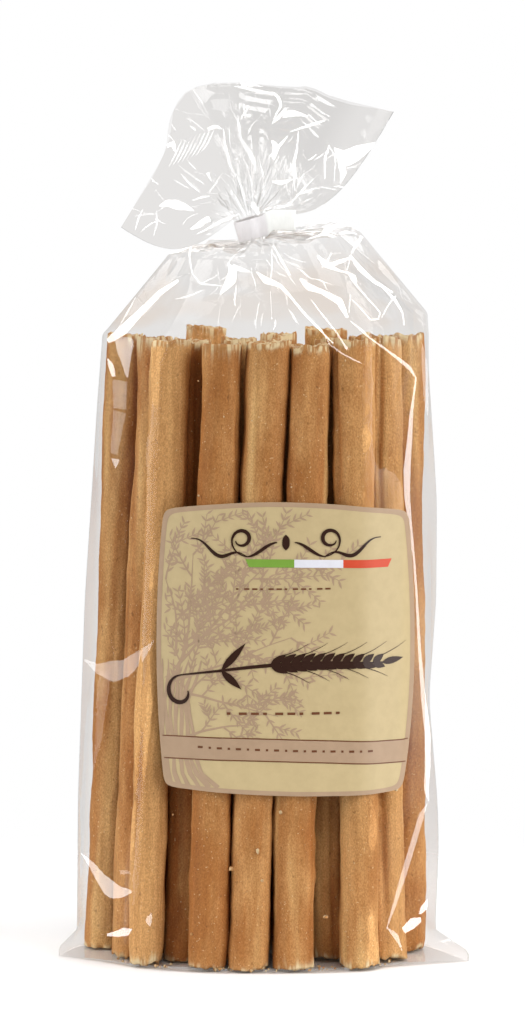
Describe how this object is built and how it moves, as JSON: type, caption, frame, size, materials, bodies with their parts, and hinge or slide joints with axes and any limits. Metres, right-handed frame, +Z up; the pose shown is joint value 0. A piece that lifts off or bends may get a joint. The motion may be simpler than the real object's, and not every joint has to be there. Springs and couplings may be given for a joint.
{
  "type": "bag of grissini breadsticks",
  "caption": "Clear film bag of long thin breadsticks standing upright, gathered by a flat tie under a fanned frill, with a printed label on its front.",
  "frame": {"origin": "middle of the flat base on which the filled bag stands", "axes": "+Z up along the breadsticks, -Y out of the label on the front, +X to the right of someone who faces the label"},
  "size_m": [0.1312, 0.0586, 0.2884],
  "materials": {
    "film": "clear glossy film",
    "breadstick": "matte baked crust",
    "label": "satin printed paper",
    "tie": "matte white band"
  },
  "bodies": {
    "root": {"bag": "film", "neck_tie": "tie", "label": "label"}
  },
  "joints": []
}
